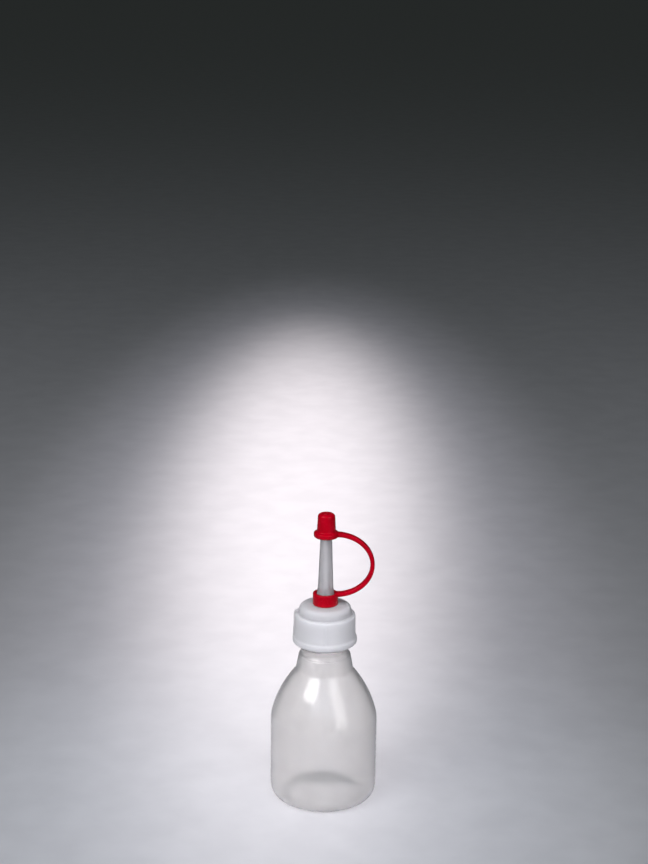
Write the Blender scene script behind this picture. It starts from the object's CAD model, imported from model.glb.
"""Looks of the squeeze dropper bottle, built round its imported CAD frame.

Lengths in the profiles are millimetres, as in the part's source; MM turns them into
Blender's metres. The bottle's axis is Z and its front faces -Y.
"""

import math

import bpy
from mathutils import Matrix, Vector


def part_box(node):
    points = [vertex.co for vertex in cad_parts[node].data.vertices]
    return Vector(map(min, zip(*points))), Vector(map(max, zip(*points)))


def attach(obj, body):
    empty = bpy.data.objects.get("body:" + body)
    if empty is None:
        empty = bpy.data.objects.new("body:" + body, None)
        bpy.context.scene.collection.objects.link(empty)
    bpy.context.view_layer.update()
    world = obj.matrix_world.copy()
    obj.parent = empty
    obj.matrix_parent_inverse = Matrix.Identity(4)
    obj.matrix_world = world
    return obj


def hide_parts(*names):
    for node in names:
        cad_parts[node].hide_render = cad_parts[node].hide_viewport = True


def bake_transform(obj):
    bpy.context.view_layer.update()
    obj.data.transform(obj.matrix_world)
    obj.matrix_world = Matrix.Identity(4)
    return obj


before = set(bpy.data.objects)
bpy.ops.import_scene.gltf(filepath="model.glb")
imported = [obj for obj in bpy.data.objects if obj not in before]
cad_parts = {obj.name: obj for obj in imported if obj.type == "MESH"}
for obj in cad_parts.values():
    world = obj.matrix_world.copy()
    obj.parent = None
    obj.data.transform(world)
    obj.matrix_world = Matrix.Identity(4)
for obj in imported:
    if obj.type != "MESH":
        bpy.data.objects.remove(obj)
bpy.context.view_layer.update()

MM = 0.001


# ---------------------------------------------------------------- sizes from the frame

def box_mm(node):
    """Lowest and highest corner of a CAD node, in millimetres."""
    low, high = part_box(node)
    return low / MM, high / MM


_, bottle_high = box_mm("bottle")
cap_low, cap_high = box_mm("screw_cap")
spout_low, spout_high = box_mm("dropper_insert")
ring_low, ring_high = box_mm("retaining_ring")
_, strap_high = box_mm("tether_strap")
tip_low, tip_high = box_mm("tip_cap")

BARREL_R = bottle_high.x
NECK_TOP = bottle_high.z
CAP_Z = cap_low.z
CAP_TOP = cap_high.z
BEAD_R = cap_high.x
RING_R = ring_high.x
RING_Z = ring_low.z
RING_TOP = ring_high.z
SPOUT_TOP = spout_high.z
FLANGE_R = tip_high.x
FLANGE_Z = tip_low.z
TIP_TOP = tip_high.z

# play between pieces that slide or turn on each other, and between faces that meet
SHAFT_GAP = 0.06
STEP_GAP = 0.05

# bottle: barrel, two-arc shoulder, flare, ledge, collar and neck
WALL = 1.1
BARREL_TOP = 27.2
BASE_EDGE_R = 4.2
SHOULDER_R1, SHOULDER_A1 = 11.7, 15.0
SHOULDER_R2, SHOULDER_A2 = 35.9, 36.3
HOLLOW_R = 2.4
FLARE_A, FLARE_R, FLARE_Z = 10.9, 8.5, 49.6
LEDGE_R, LEDGE_Z = 8.15, 50.45
COLLAR_Z = 51.2
PUSH_UP_Z, PUSH_UP_R = 2.4, 9
STAND_R = 12.6
FLOOR_Z, FLOOR_R = 3.2, 10.5
NECK_R = 7.75
COLLAR_TOP = 55.0
ROOT_R = NECK_R - 0.4
NECK_BORE_R = 6.05
DOT_X, DOT_Y = (-5, -1, 3), -8.2
DOT_R, DOT_HEIGHT = 0.8, 0.25

# thread, the same helix on the neck and in the cap
PITCH = 3.0
THREAD_DEPTH = 0.8
THREAD_TURNS = 1.5
THREAD_FOOT, THREAD_LAND = 1.3, 0.7
NECK_THREAD_Z = 57.6
THREAD_PLAY = 1.2

# cap
SKIRT_R = 9.95
TIER_R = 8.45
CAP_BORE_R = ROOT_R + THREAD_DEPTH + 0.25
CAP_SHOULDER_Z = 63.9
BEAD_Z, BEAD_TOP = 54.75, 56.15
FOOT_R = 8.95
FIN_TOP = 65.15
FIN_PROUD = 0.4
FIN_T, FIN_EDGE = 0.9, 0.18
SEAM_HALF, SEAM_PROUD = 0.32, 0.16
SPOUT_HOLE_R = 3.05
PLATE_T = 1.25
STEP_DROP = 1.3

# spout and its plug
SPOUT_FOOT_R, SPOUT_TIP_R = 2.5, 1.65
SPOUT_FOOT_Z = RING_TOP + 2.1
RING_SEAT_R = 2.85
SNAP_PROUD, SNAP_Z = 0.15, RING_Z + 1.9
INSERT_FLANGE_T = 1.15
PLUG_T = 0.9
ORIFICE_R, ORIFICE_H = 0.6, 2.2
SPOUT_BORE_R, SPOUT_BORE_TIP_R = 1.35, 0.8

# tip cap and strap
FLANGE_T = 1.8
PIN_R, PIN_H = 0.5, 1.3
MOUTH_CHAMFER = 0.4
TIP_BODY_R = 3.07
TIP_SHOULDER_R = 2.75
STRAP_T, STRAP_W = 1.45, 2.4
STRAP_X = 3.25
STRAP_REACH = strap_high.x - STRAP_T / 2
STRAP_LOW_Z = RING_TOP - STRAP_T / 2 + 0.2
STRAP_HIGH_Z = FLANGE_Z + 0.95
STRAP_SQUARENESS = 0.42
STRAP_ROOT, STRAP_ROOT_WIDER = 0.14, 0.25


# ---------------------------------------------------------------- mesh helpers

def arc(centre, radius, start, end, steps=10):
    """Points along an arc, angles in degrees."""
    angles = [math.radians(start + (end - start) * i / steps) for i in range(steps + 1)]
    return [(centre[0] + radius * math.cos(a), centre[1] + radius * math.sin(a)) for a in angles]


def rounded(corners, steps=6):
    """An outline through (r, z, fillet) corners, each rounded by its fillet radius."""
    points = []
    count = len(corners)
    for i, corner in enumerate(corners):
        here = Vector(corner[:2])
        fillet = corner[2] if len(corner) > 2 else 0
        if fillet <= 0 or i in (0, count - 1):
            points.append(tuple(here))
            continue
        back = Vector(corners[i - 1][:2]) - here
        ahead = Vector(corners[i + 1][:2]) - here
        half = back.angle(ahead) / 2
        reach = min(fillet / math.tan(half), back.length * 0.49, ahead.length * 0.49)
        radius = reach * math.tan(half)
        middle = here + (back.normalized() + ahead.normalized()).normalized() * (radius / math.sin(half))
        first = here + back.normalized() * reach - middle
        last = here + ahead.normalized() * reach - middle
        turn = first.angle_signed(last)
        for k in range(steps + 1):
            spin = Matrix.Rotation(-turn * k / steps, 2)
            points.append(tuple(middle + spin @ first))
    return points


def close_up(points, gap=0.9):
    """The same outline with no repeated point, and steps of at most gap."""
    result = []
    points = [points[0]] + [b for a, b in zip(points, points[1:]) if math.dist(a, b) > 0.005]
    for a, b in zip(points, points[1:]):
        steps = max(1, math.ceil(math.dist(a, b) / gap))
        result += [
            (a[0] + (b[0] - a[0]) * k / steps, a[1] + (b[1] - a[1]) * k / steps)
            for k in range(steps)
        ]
    return result + [points[-1]]


def relax(points, passes):
    """Evens out a closely spaced outline, so that curves run into each other with no visible joint."""
    for _ in range(passes):
        middle = [((a[0] + 2 * b[0] + c[0]) / 4, (a[1] + 2 * b[1] + c[1]) / 4)
                  for a, b, c in zip(points, points[1:], points[2:])]
        points = [points[0]] + middle + [points[-1]]
    return points


def new_piece(name, verts, faces):
    """A smooth-shaded mesh object from points in millimetres."""
    mesh = bpy.data.meshes.new(name)
    mesh.from_pydata([(x * MM, y * MM, z * MM) for x, y, z in verts], [], faces)
    mesh.validate()
    mesh.update()
    piece = bpy.data.objects.new(name, mesh)
    bpy.context.scene.collection.objects.link(piece)
    mesh.polygons.foreach_set("use_smooth", [True] * len(mesh.polygons))
    mesh.set_sharp_from_angle(angle=math.radians(50))
    return piece


def lathe(name, outline, columns=144, shift=None):
    """Turns a closed outline of (r, z) points round Z. Points at r = 0 become poles.

    shift(r, z, angle) returns how far that point moves out and up.
    """
    verts, rings = [], []
    for i, (r, z) in enumerate(outline):
        if r < 1e-6:
            rings.append([len(verts)] * columns)
            verts.append((0, 0, z))
            continue
        rings.append(list(range(len(verts), len(verts) + columns)))
        for k in range(columns):
            angle = 2 * math.pi * k / columns
            out, lift = shift(r, z, angle) if shift else (0, 0)
            verts.append(((r + out) * math.cos(angle), (r + out) * math.sin(angle), z + lift))
    faces = []
    for i in range(len(outline)):
        low, high = rings[i], rings[(i + 1) % len(outline)]
        if low[0] == low[1] and high[0] == high[1]:
            continue
        for k in range(columns):
            n = (k + 1) % columns
            corners = [low[k], low[n], high[n], high[k]]
            faces.append(list(dict.fromkeys(corners)))
    return new_piece(name, verts, faces)


def smooth_step(x):
    x = min(max(x, 0.0), 1.0)
    return x * x * (3 - 2 * x)


def helix_height(z, angle, start_z):
    """How far the thread stands out of its wall there, from 0 to 1."""
    best = 0.0
    for turn in range(math.ceil(THREAD_TURNS) + 1):
        along = angle / (2 * math.pi) + turn
        if along > THREAD_TURNS:
            break
        fade = smooth_step(min(along, THREAD_TURNS - along) * 8)
        away = abs(z - start_z - PITCH * along)
        flank = (THREAD_FOOT / 2 - away) / ((THREAD_FOOT - THREAD_LAND) / 2)
        best = max(best, fade * min(max(flank, 0.0), 1.0))
    return best


# ---------------------------------------------------------------- pieces

def line_join_centre(p, q, radius, a, b):
    """Centre of the hollow curve that joins a line from p at slope a to one through q at slope b."""
    a, b = math.radians(a), math.radians(b)
    p1 = Vector(p) + radius * Vector((math.cos(a), math.sin(a)))
    q1 = Vector(q) + radius * Vector((math.cos(b), math.sin(b)))
    u, v, d = (-math.sin(a), math.cos(a)), (-math.sin(b), math.cos(b)), q1 - p1
    t = (d.x * v[1] - d.y * v[0]) / (u[0] * v[1] - u[1] * v[0])
    return p1 + t * Vector(u)


def body_wall(depth):
    """The blown wall's outline at some depth inside its outer face, from base edge to flare."""
    a1 = math.radians(SHOULDER_A1)
    a2 = math.radians(SHOULDER_A2)
    c1 = Vector((BARREL_R - SHOULDER_R1, BARREL_TOP))
    c2 = c1 + (SHOULDER_R1 - SHOULDER_R2) * Vector((math.cos(a1), math.sin(a1)))
    top = c2 + SHOULDER_R2 * Vector((math.cos(a2), math.sin(a2)))
    c3 = line_join_centre(top, (FLARE_R, FLARE_Z), HOLLOW_R, SHOULDER_A2, FLARE_A)
    return (
        arc((BARREL_R - BASE_EDGE_R, BASE_EDGE_R), BASE_EDGE_R - depth, -90, 0, 16)
        + arc(c1, SHOULDER_R1 - depth, 0, SHOULDER_A1, 8)
        + arc(c2, SHOULDER_R2 - depth, SHOULDER_A1, SHOULDER_A2, 16)
        + arc(c3, HOLLOW_R + depth, 180 + SHOULDER_A2, 180 + FLARE_A, 8)
    )


def make_bottle():
    neck = rounded([
        (FLARE_R + 0.1, FLARE_Z - 0.5),
        (FLARE_R, FLARE_Z, 0.15),
        (LEDGE_R + 0.16, LEDGE_Z - 0.53, 0.1),
        (LEDGE_R + 0.15, LEDGE_Z - 0.3, 0.1),
        (LEDGE_R - 0.05, LEDGE_Z + 0.02, 0.12),
        (NECK_R + 0.13, LEDGE_Z + 0.4, 0.3),
        (NECK_R, COLLAR_Z + 0.1, 0.5),
        (NECK_R, COLLAR_TOP + 0.2, 0.2),
        (ROOT_R, COLLAR_TOP + 0.4, 0.1),
        (ROOT_R, NECK_TOP, 0.35),
        (NECK_BORE_R, NECK_TOP, 0.35),
        (NECK_BORE_R, COLLAR_TOP, 1.5),
        (FLARE_R - WALL, FLARE_Z),
    ])
    outer = relax(close_up(body_wall(0), 0.5), 8)
    inner = relax(close_up(body_wall(WALL), 0.5), 8)[::-1]
    base_inside = relax(close_up([
        (FLOOR_R + 2.2, 1.65),
        (FLOOR_R + 1.4, 2.45),
        (FLOOR_R, FLOOR_Z - 0.3),
        (2, FLOOR_Z - 0.05),
        (0, FLOOR_Z),
    ], 0.4), 6)
    base_under = relax(close_up([
        (0, PUSH_UP_Z),
        (1, PUSH_UP_Z - 0.05),
        (PUSH_UP_R, 1),
        (STAND_R, 0.05),
        (STAND_R + 0.3, 0),
    ], 0.25), 5)
    outline = close_up(base_under + outer + neck + inner + base_inside, 0.5)

    def shift(r, z, angle):
        if abs(r - ROOT_R) < 0.01 and z > COLLAR_TOP:
            return THREAD_DEPTH * helix_height(z, angle, NECK_THREAD_Z), 0
        near_dots = 6 < r < 10.5
        if z < PUSH_UP_Z - 0.4 and near_dots:
            x, y = r * math.cos(angle), r * math.sin(angle)
            away = min(math.dist((x, y), (dot, DOT_Y)) for dot in DOT_X)
            return 0, -DOT_HEIGHT * smooth_step((DOT_R + 0.3 - away) / 0.5)
        return 0, 0

    return lathe("bottle_blown", outline, 160, shift)


def make_spout():
    plug_r = NECK_BORE_R - STEP_GAP
    plug_z = spout_low.z
    seat_z = NECK_TOP + STEP_GAP
    flange_top = seat_z + INSERT_FLANGE_T
    flange_r = spout_high.x
    outline = rounded([
        (plug_r - PLUG_T, plug_z),
        (plug_r - 0.35, plug_z, 0.2),
        (plug_r, plug_z + 0.8, 0.4),
        (plug_r, seat_z, 0.1),
        (flange_r, seat_z, 0.25),
        (flange_r, flange_top, 0.25),
        (SPOUT_HOLE_R - SHAFT_GAP, flange_top, 0.1),
        (SPOUT_HOLE_R - SHAFT_GAP, RING_Z - 0.1, 0.1),
        (RING_SEAT_R, RING_Z + 0.1, 0.1),
        (RING_SEAT_R, SNAP_Z - 0.3, 0.2),
        (RING_SEAT_R + SNAP_PROUD, SNAP_Z, 0.15),
        (RING_SEAT_R, SNAP_Z + 0.3, 0.2),
        (RING_SEAT_R, RING_TOP - 0.1, 1.2),
        (SPOUT_FOOT_R, SPOUT_FOOT_Z, 3.0),
        (SPOUT_TIP_R, SPOUT_TOP, 0.3),
        (ORIFICE_R, SPOUT_TOP, 0.12),
        (ORIFICE_R, SPOUT_TOP - ORIFICE_H, 0.3),
        (SPOUT_BORE_TIP_R, SPOUT_TOP - ORIFICE_H - 0.4, 0.5),
        (SPOUT_BORE_R, CAP_TOP, 2.0),
        (plug_r - PLUG_T, seat_z - 0.6, 1.0),
        (plug_r - PLUG_T, plug_z),
    ])[:-1]
    return lathe("spout_moulded", close_up(outline, 1.0), 96)


def make_cap():
    plate_z = CAP_TOP - PLATE_T
    step_z = CAP_SHOULDER_Z - STEP_DROP
    outline = rounded([
        (CAP_BORE_R + 0.15, CAP_Z),
        (FOOT_R, CAP_Z, 0.25),
        (BEAD_R - 0.02, BEAD_Z - 0.35, 0.5),
        (BEAD_R - 0.02, BEAD_TOP - 0.2, 0.7),
        (SKIRT_R, BEAD_TOP + 0.25, 0.9),
        (SKIRT_R - 0.15, CAP_SHOULDER_Z, 1.45),
        (TIER_R + 0.02, CAP_SHOULDER_Z, 0.4),
        (TIER_R - 0.05, CAP_TOP - 0.2, 1.5),
        (SPOUT_HOLE_R + 1.3, CAP_TOP, 2.0),
        (SPOUT_HOLE_R, CAP_TOP, 0.1),
        (SPOUT_HOLE_R, plate_z, 0.1),
        (ROOT_R + 0.1, plate_z, 0.3),
        (ROOT_R + 0.1, step_z, 0.2),
        (CAP_BORE_R, step_z, 0.3),
        (CAP_BORE_R, CAP_Z + 0.3, 0.2),
        (CAP_BORE_R + 0.15, CAP_Z),
    ])[:-1]

    def shift(r, z, angle):
        if abs(r - CAP_BORE_R) < 0.01 and z < step_z:
            return -THREAD_DEPTH * helix_height(z, angle, NECK_THREAD_Z - THREAD_PLAY), 0
        if r > SKIRT_R - 0.2 and BEAD_TOP < z < CAP_SHOULDER_Z - 1.2:
            off = min(abs(angle - math.pi / 2), abs(angle - 3 * math.pi / 2)) * r
            return SEAM_PROUD * smooth_step(1.4 - off / SEAM_HALF), 0
        return 0, 0

    cap = lathe("cap_moulded", close_up(outline, 0.45), 256, shift)
    return unite(cap, make_fin())


def make_fin():
    """The thin grip rib opposite the strap, an extruded plate with softened edges."""
    inner = TIER_R - 0.3
    outer = SKIRT_R + FIN_PROUD
    outline = [
        (inner, CAP_SHOULDER_Z - 0.8),
        (inner, FIN_TOP),
        (outer - 1.1, FIN_TOP),
        (outer - 0.62, FIN_TOP - 0.2),
        (outer - 0.34, FIN_TOP - 0.6),
        (outer - 0.22, FIN_TOP - 1.3),
        (outer + 0.08, BEAD_TOP - 0.4),
        (BEAD_R + 0.12, BEAD_TOP - 1.0),
        (BEAD_R - 0.1, BEAD_Z),
        (CAP_BORE_R + 0.5, BEAD_TOP),
    ]
    verts = [(-r, y, z) for y in (-FIN_T / 2, FIN_T / 2) for r, z in outline]
    n = len(outline)
    faces = [list(range(n)), list(range(2 * n - 1, n - 1, -1))]
    faces += [[(i + 1) % n, i, n + i, n + (i + 1) % n] for i in range(n)]
    fin = new_piece("cap_fin", verts, faces)
    soften(fin, FIN_EDGE, 3)
    return fin


def soften(piece, width, segments):
    """Rounds a piece's edges by width in millimetres and applies it to the mesh."""
    bevel = piece.modifiers.new("edges", "BEVEL")
    bevel.width = width * MM
    bevel.segments = segments
    bevel.limit_method = "ANGLE"
    bevel.angle_limit = math.radians(25)
    apply_modifiers(piece)
    piece.data.polygons.foreach_set("use_smooth", [True] * len(piece.data.polygons))


def unite(piece, other):
    """Joins another closed piece to this one as one solid."""
    union = piece.modifiers.new("union", "BOOLEAN")
    union.operation = "UNION"
    union.solver = "EXACT"
    union.object = other
    apply_modifiers(piece)
    bpy.data.objects.remove(other)
    piece.data.polygons.foreach_set("use_smooth", [True] * len(piece.data.polygons))
    piece.data.set_sharp_from_angle(angle=math.radians(40))
    return piece


def apply_modifiers(piece):
    graph = bpy.context.evaluated_depsgraph_get()
    mesh = bpy.data.meshes.new_from_object(piece.evaluated_get(graph))
    piece.modifiers.clear()
    piece.data = mesh


def make_ring():
    bore = RING_SEAT_R + SHAFT_GAP
    outline = rounded([
        (bore, RING_Z + 0.15),
        (bore + 0.15, RING_Z, 0.05),
        (RING_R, RING_Z, 0.25),
        (RING_R, RING_TOP, 0.35),
        (bore + 0.2, RING_TOP, 0.15),
        (bore, RING_TOP - 0.35, 0.1),
        (bore, SNAP_Z + 0.35, 0.1),
        (bore + SNAP_PROUD, SNAP_Z, 0.1),
        (bore, SNAP_Z - 0.35, 0.1),
        (bore, RING_Z + 0.15),
    ])[:-1]
    return lathe("ring_moulded", close_up(outline, 0.8), 112)


def make_tip_cap():
    def seat_r(z):
        share = (z - SPOUT_FOOT_Z) / (SPOUT_TOP - SPOUT_FOOT_Z)
        return SPOUT_FOOT_R + (SPOUT_TIP_R - SPOUT_FOOT_R) * share + SHAFT_GAP

    seat_top = SPOUT_TOP + 0.25
    mouth_z = FLANGE_Z + MOUTH_CHAMFER
    flange_top = FLANGE_Z + FLANGE_T
    outline = rounded([
        (0, SPOUT_TOP - PIN_H),
        (PIN_R, SPOUT_TOP - PIN_H, 0.2),
        (PIN_R, seat_top, 0.1),
        (seat_r(seat_top), seat_top, 0.2),
        (seat_r(mouth_z), mouth_z, 0.2),
        (seat_r(FLANGE_Z) + MOUTH_CHAMFER, FLANGE_Z, 0.1),
        (FLANGE_R, FLANGE_Z, 0.7),
        (FLANGE_R, flange_top - 0.05, 0.6),
        (TIP_BODY_R, flange_top + 0.1, 0.9),
        (TIP_SHOULDER_R, TIP_TOP, 1.15),
        (0, TIP_TOP),
    ], 9)
    return lathe("tip_cap_moulded", close_up(outline, 0.8), 112)


def make_strap():
    """The bowed strap: a rounded bar swept along half an ellipse, wider where it is rooted."""
    mid_z = (STRAP_LOW_Z + STRAP_HIGH_Z) / 2
    a, b = STRAP_REACH - STRAP_X, (STRAP_HIGH_Z - STRAP_LOW_Z) / 2
    steps, sides = 96, 24
    verts = []
    for i in range(steps + 1):
        t = math.radians(-90 + 180 * i / steps)
        centre = Vector((STRAP_X + a * math.cos(t), 0, mid_z + b * math.sin(t)))
        out = Vector((math.cos(t) / a, 0, math.sin(t) / b)).normalized()
        root = smooth_step((abs(t) / (math.pi / 2) - (1 - STRAP_ROOT)) / STRAP_ROOT)
        half_t = STRAP_T / 2
        half_w = STRAP_W / 2 * (1 + STRAP_ROOT_WIDER * root)
        for k in range(sides):
            angle = 2 * math.pi * (k + 0.5) / sides
            cx, cy = math.cos(angle), math.sin(angle)
            u = half_t * math.copysign(abs(cx) ** STRAP_SQUARENESS, cx)
            v = half_w * math.copysign(abs(cy) ** STRAP_SQUARENESS, cy)
            verts.append(tuple(centre + out * u + Vector((0, 1, 0)) * v))
    faces = []
    for i in range(steps):
        for k in range(sides):
            n = (k + 1) % sides
            faces.append([i * sides + k, i * sides + n, (i + 1) * sides + n, (i + 1) * sides + k])
    faces.append(list(range(sides))[::-1])
    faces.append([steps * sides + k for k in range(sides)])
    return new_piece("strap_moulded", verts, faces)


# ---------------------------------------------------------------- materials

# what all the natural polyethylene mouldings share: light scatters evenly inside them
MILKY = {"IOR": 1.45, "Subsurface_Weight": 1.0, "Subsurface_Radius": (1.0, 1.0, 1.0)}


def fresh(name):
    material = bpy.data.materials.new(name)
    material.use_nodes = True
    tree = material.node_tree
    return material, tree, tree.nodes["Principled BSDF"]


def noise(tree, scale, detail=3.0, roughness=0.5):
    """Noise over the object's own space, with features about 1 / scale metres wide."""
    where = tree.nodes.new("ShaderNodeTexCoord")
    node = tree.nodes.new("ShaderNodeTexNoise")
    node.inputs["Scale"].default_value = scale
    node.inputs["Detail"].default_value = detail
    node.inputs["Roughness"].default_value = roughness
    tree.links.new(where.outputs["Object"], node.inputs["Vector"])
    return node.outputs["Fac"]


def ramp(tree, factor, low, high, start=0.35, end=0.65):
    """A colour between low and high as the factor goes from start to end."""
    node = tree.nodes.new("ShaderNodeValToRGB")
    node.color_ramp.elements[0].position = start
    node.color_ramp.elements[0].color = (*low, 1)
    node.color_ramp.elements[1].position = end
    node.color_ramp.elements[1].color = (*high, 1)
    tree.links.new(factor, node.inputs["Fac"])
    return node.outputs["Color"]


def span(tree, factor, low, high):
    """The factor, about 0.3 to 0.7, mapped to a number from low to high."""
    node = tree.nodes.new("ShaderNodeMapRange")
    node.inputs["From Min"].default_value = 0.3
    node.inputs["From Max"].default_value = 0.7
    node.inputs["To Min"].default_value = low
    node.inputs["To Max"].default_value = high
    tree.links.new(factor, node.inputs["Value"])
    return node.outputs["Result"]


def bumps(tree, shader, layers):
    """Bump from several noises: layers of (factor, height in millimetres)."""
    normal = None
    for factor, height in layers:
        node = tree.nodes.new("ShaderNodeBump")
        node.inputs["Strength"].default_value = 1.0
        node.inputs["Distance"].default_value = height * MM
        tree.links.new(factor, node.inputs["Height"])
        if normal is not None:
            tree.links.new(normal, node.inputs["Normal"])
        normal = node.outputs["Normal"]
    tree.links.new(normal, shader.inputs["Normal"])
    return normal


def settle(shader, **values):
    """Sets the shader's sockets, named with _ for each space, to constants."""
    for name, value in values.items():
        shader.inputs[name.replace("_", " ")].default_value = value


def natural_polyethylene():
    material, tree, shader = fresh("natural_ldpe")
    colour = ramp(tree, noise(tree, 90, 2), (0.925, 0.905, 0.89), (0.945, 0.925, 0.91))
    tree.links.new(colour, shader.inputs["Base Color"])
    tree.links.new(span(tree, noise(tree, 700, 3), 0.07, 0.11), shader.inputs["Roughness"])
    settle(shader, **MILKY, Transmission_Weight=0.8, Subsurface_Scale=2.0 * MM)
    bumps(tree, shader, [(noise(tree, 260, 2), 0.05), (noise(tree, 2600, 3), 0.006)])
    return material


def spout_polyethylene():
    material, tree, shader = fresh("spout_ldpe")
    colour = ramp(tree, noise(tree, 150, 2), (0.72, 0.71, 0.715), (0.80, 0.79, 0.795))
    tree.links.new(colour, shader.inputs["Base Color"])
    tree.links.new(span(tree, noise(tree, 900, 3), 0.13, 0.20), shader.inputs["Roughness"])
    settle(
        shader, **MILKY, Transmission_Weight=0.75, Subsurface_Scale=2.0 * MM,
        Coat_Weight=0.4, Coat_Roughness=0.12,
    )
    bumps(tree, shader, [(noise(tree, 3000, 3), 0.004)])
    return material


def cap_polyethylene():
    material, tree, shader = fresh("cap_ldpe")
    colour = ramp(tree, noise(tree, 120, 2), (0.94, 0.885, 0.93), (0.965, 0.91, 0.95))
    tree.links.new(colour, shader.inputs["Base Color"])
    tree.links.new(span(tree, noise(tree, 900, 3), 0.42, 0.52), shader.inputs["Roughness"])
    settle(
        shader, **MILKY, Specular_IOR_Level=0.35, Transmission_Weight=0.35, Subsurface_Scale=7 * MM,
    )
    bumps(tree, shader, [(noise(tree, 500, 2), 0.015), (noise(tree, 3500, 3), 0.006)])
    return material


def red_polyethylene():
    material, tree, shader = fresh("red_ldpe")
    colour = ramp(tree, noise(tree, 300, 3), (0.30, 0.0, 0.006), (0.36, 0.0005, 0.009))
    tree.links.new(colour, shader.inputs["Base Color"])
    tree.links.new(span(tree, noise(tree, 1200, 3), 0.20, 0.30), shader.inputs["Roughness"])
    settle(
        shader, IOR=1.5, Specular_IOR_Level=0.22, Specular_Tint=(1.0, 0.32, 0.40, 1),
        Subsurface_Weight=0.15, Subsurface_Radius=(1.0, 0.1, 0.1), Subsurface_Scale=0.6 * MM,
    )
    bumps(tree, shader, [(noise(tree, 700, 2), 0.012), (noise(tree, 4500, 3), 0.005)])
    return material


# ---------------------------------------------------------------- build

NATURAL = natural_polyethylene()
SPOUT = spout_polyethylene()
CAP = cap_polyethylene()
RED = red_polyethylene()


def dress(piece, material, body=None, replaces=()):
    """Gives a piece its material and slot, the CAD nodes that it stands for, and its body."""
    piece.data.materials.clear()
    piece.data.materials.append(material)
    if replaces:
        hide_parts(*replaces)
    if body:
        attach(piece, body)
    return piece


dress(make_bottle(), NATURAL, "bottle_body", ["bottle"])
dress(make_spout(), SPOUT, "spout_body", ["dropper_insert"])
dress(make_cap(), CAP, "cap_body", ["screw_cap"])
dress(make_ring(), RED, "closure_ring_body", ["retaining_ring"])
dress(make_tip_cap(), RED, "tip_cap_body", ["tip_cap"])
strap = dress(make_strap(), RED, None, ["tether_strap"])
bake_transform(strap)


# ---------------------------------------------------------------- stage, camera and lights

# share of the floor sheet's light that comes through it from below
FLOOR_TRANSLUCENCY = 0.7


def make_floor():
    """A large pale frosted sheet, lit from below as well as above. It fills the whole picture."""
    half, near, far = 9.0, -4.0, 14.0
    mesh = bpy.data.meshes.new("floor")
    corners = [(-half, near, 0), (half, near, 0), (half, far, 0), (-half, far, 0)]
    mesh.from_pydata(corners, [], [(0, 1, 2, 3)])
    floor = bpy.data.objects.new("floor", mesh)
    bpy.context.scene.collection.objects.link(floor)
    material, tree, shader = fresh("floor_sheet")
    pale = ramp(tree, noise(tree, 60, 3), (0.74, 0.74, 0.76), (0.78, 0.78, 0.80))
    tree.links.new(pale, shader.inputs["Base Color"])
    tree.links.new(span(tree, noise(tree, 900, 2), 0.12, 0.18), shader.inputs["Roughness"])
    through = tree.nodes.new("ShaderNodeBsdfTranslucent")
    tree.links.new(pale, through.inputs["Color"])
    mix = tree.nodes.new("ShaderNodeMixShader")
    mix.inputs["Fac"].default_value = FLOOR_TRANSLUCENCY
    tree.links.new(shader.outputs["BSDF"], mix.inputs[1])
    tree.links.new(through.outputs["BSDF"], mix.inputs[2])
    tree.links.new(mix.outputs["Shader"], tree.nodes["Material Output"].inputs["Surface"])
    mesh.materials.append(material)


# the camera's place in millimetres, its lens in millimetres and its turn in degrees
CAMERA_PLACE = (0, -546.4, 276.2)
CAMERA_LENS = 75.0
CAMERA_PITCH, CAMERA_ROLL, CAMERA_YAW = 15.5, 0.81, 0.12


def make_camera():
    """A long lens looking a little down, with the bottle low in the frame."""
    pitch = math.radians(CAMERA_PITCH)
    forward = Vector((0, math.cos(pitch), -math.sin(pitch)))
    data = bpy.data.cameras.new("camera")
    data.lens = CAMERA_LENS
    data.clip_start = 0.01
    camera = bpy.data.objects.new("camera", data)
    bpy.context.scene.collection.objects.link(camera)
    camera.location = Vector(CAMERA_PLACE) * MM
    camera.rotation_euler = forward.to_track_quat("-Z", "Y").to_euler()
    camera.rotation_euler.rotate_axis("Z", math.radians(CAMERA_ROLL))
    camera.rotation_euler.rotate_axis("Y", math.radians(CAMERA_YAW))
    bpy.context.scene.camera = camera


def place_light(name, data, azimuth, elevation, distance, target):
    """Puts a light on a sphere round its target. Azimuth 0 is the camera's side, and right is positive."""
    a, e = math.radians(azimuth), math.radians(elevation)
    aim = Vector(target)
    place = aim + distance * Vector((math.sin(a) * math.cos(e), -math.cos(a) * math.cos(e), math.sin(e)))
    light = bpy.data.objects.new(name, data)
    bpy.context.scene.collection.objects.link(light)
    light.location = place
    light.rotation_euler = (aim - place).to_track_quat("-Z", "Y").to_euler()
    return light


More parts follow.
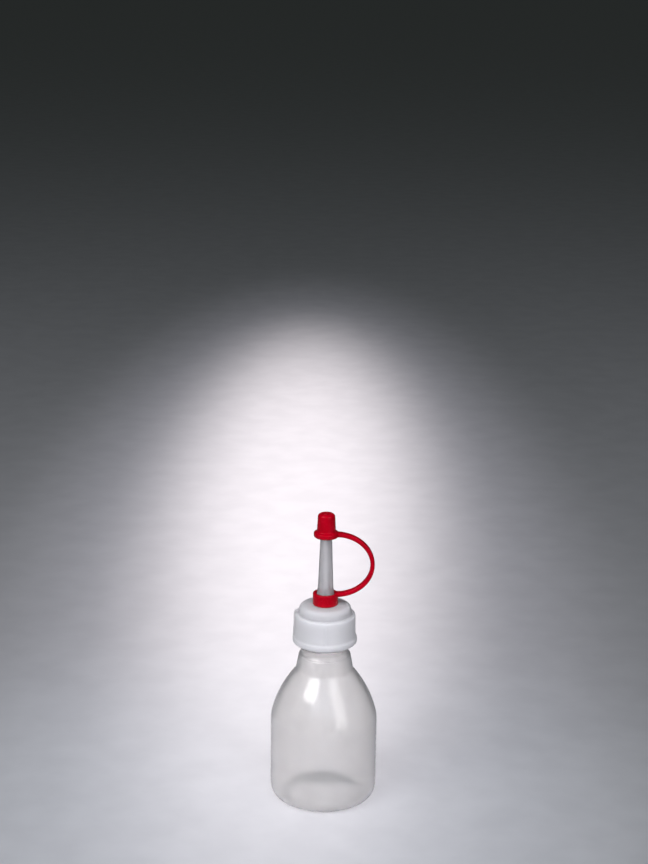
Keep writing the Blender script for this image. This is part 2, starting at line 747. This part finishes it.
def soft_box(name, azimuth, elevation, distance, width, height, power, colour, target=(0, 0, 0.04)):
    """A rectangular studio light aimed at the middle of the bottle."""
    data = bpy.data.lights.new(name, "AREA")
    data.shape = "RECTANGLE"
    data.size, data.size_y = width, height
    data.energy = power
    data.color = colour
    return place_light(name, data, azimuth, elevation, distance, target)


def table_light(name, x, y, depth, power, colour, cone, stretch=1.0):
    """A lamp under the frosted floor, pointing up. stretch narrows its pool across the picture."""
    data = bpy.data.lights.new(name, "SPOT")
    data.energy = power
    data.color = colour
    data.spot_size = math.radians(cone)
    data.spot_blend = 1.0
    data.shadow_soft_size = 0.03
    lamp = bpy.data.objects.new(name, data)
    bpy.context.scene.collection.objects.link(lamp)
    lamp.location = (x, y, -depth)
    lamp.rotation_euler = (math.pi, 0, 0)
    lamp.scale = (stretch, 1, 1)


KEY_WHITE = (1.0, 0.98, 0.98)
ROOM_COLOUR, ROOM_STRENGTH = (0.88, 1.0, 0.95, 1), 0.025


def make_lights():
    """A key on the left, a strip on the right, a cool fill, and three lamps under the floor."""
    soft_box(
        "key_left", azimuth=-46, elevation=41, distance=0.9,
        width=0.54, height=0.36, power=5.0, colour=KEY_WHITE,
    )
    soft_box(
        "strip_right", azimuth=40, elevation=27, distance=0.9,
        width=0.40, height=0.85, power=3.4, colour=KEY_WHITE,
    )
    fill = soft_box(
        "fill_front", azimuth=-5, elevation=42, distance=1.5,
        width=1.9, height=1.2, power=25, colour=(0.84, 0.89, 1.0),
    )
    # the fill only lightens the shadows: its reflection would hide the two narrow highlights
    fill.visible_glossy = False
    table_light(
        "pool", x=-0.014, y=0.33, depth=1.2, power=72, colour=(1.0, 0.915, 0.91), cone=45, stretch=0.17,
    )
    table_light(
        "halo", x=-0.014, y=0.28, depth=1.2, power=23.5, colour=(0.93, 0.90, 1.0), cone=62, stretch=0.22,
    )
    table_light(
        "glow", x=-0.02, y=-0.03, depth=0.3, power=0.8, colour=(0.84, 0.93, 1.0), cone=70,
    )
    world = bpy.data.worlds.new("studio")
    bpy.context.scene.world = world
    world.use_nodes = True
    background = world.node_tree.nodes["Background"]
    background.inputs["Color"].default_value = ROOM_COLOUR
    background.inputs["Strength"].default_value = ROOM_STRENGTH


make_floor()
make_camera()
make_lights()
bpy.context.scene.view_settings.view_transform = "Standard"
